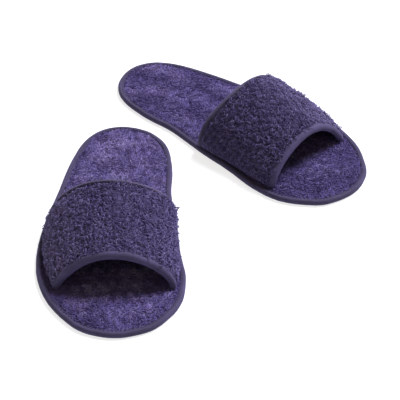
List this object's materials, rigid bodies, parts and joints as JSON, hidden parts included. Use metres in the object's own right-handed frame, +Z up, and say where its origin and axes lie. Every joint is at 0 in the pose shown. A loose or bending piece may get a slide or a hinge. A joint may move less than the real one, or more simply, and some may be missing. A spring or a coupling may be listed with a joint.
{
  "type": "pair of spa slippers",
  "caption": "Open-toe terry slippers with a bound sole edge and a padded vamp, standing side by side at an angle; each sole flexes behind its vamp.",
  "frame": {"origin": "centre of the pair's footprint, on the floor", "axes": "+Z up; the right slipper's toe points along -Y; +X to the viewer's right"},
  "size_m": [0.288, 0.3957, 0.058],
  "materials": {
    "outsole": "matte, faintly ribbed",
    "midsole_foam": "closed-cell foam, matte",
    "insole_terry": "brushed terry pile",
    "edge_binding": "smooth bias tape",
    "vamp_terry": "curly terry loop pile",
    "vamp_foam": "open-cell padding",
    "vamp_lining": "plain knitted lining",
    "vamp_front_binding": "smooth bias tape",
    "vamp_rear_binding": "narrow bias tape"
  },
  "bodies": {
    "right_slipper": {"right_outsole_front": "outsole", "right_midsole_foam_front": "midsole_foam", "right_insole_terry_front": "insole_terry", "right_edge_binding_front": "edge_binding", "right_vamp_terry": "vamp_terry", "right_vamp_foam": "vamp_foam", "right_vamp_lining": "vamp_lining", "right_vamp_front_binding": "vamp_front_binding", "right_vamp_rear_binding": "vamp_rear_binding"},
    "right_heel": {"right_outsole_heel": "outsole", "right_midsole_foam_heel": "midsole_foam", "right_insole_terry_heel": "insole_terry", "right_edge_binding_heel": "edge_binding"},
    "left_slipper": {"left_outsole_front": "outsole", "left_midsole_foam_front": "midsole_foam", "left_insole_terry_front": "insole_terry", "left_edge_binding_front": "edge_binding", "left_vamp_terry": "vamp_terry", "left_vamp_foam": "vamp_foam", "left_vamp_lining": "vamp_lining", "left_vamp_front_binding": "vamp_front_binding", "left_vamp_rear_binding": "vamp_rear_binding"},
    "left_heel": {"left_outsole_heel": "outsole", "left_midsole_foam_heel": "midsole_foam", "left_insole_terry_heel": "insole_terry", "left_edge_binding_heel": "edge_binding"}
  },
  "joints": [
    {"name": "right_sole_flex", "type": "hinge", "parent": "right_slipper", "child": "right_heel", "pos_m": [-0.07914, -0.03158, 0.0052], "axis": [1, 0, 0], "range_deg": [0, 45], "stiffness_Nm_per_rad": 0.15},
    {"name": "left_slipper_lift", "type": "slide", "parent": "right_slipper", "child": "left_slipper", "axis": [0, 0, 1], "range_m": [0, 0.12]},
    {"name": "left_sole_flex", "type": "hinge", "parent": "left_slipper", "child": "left_heel", "pos_m": [0.01206, 0.10552, 0.0052], "axis": [0.682, 0.7314, 0], "range_deg": [0, 45], "stiffness_Nm_per_rad": 0.15}
  ]
}
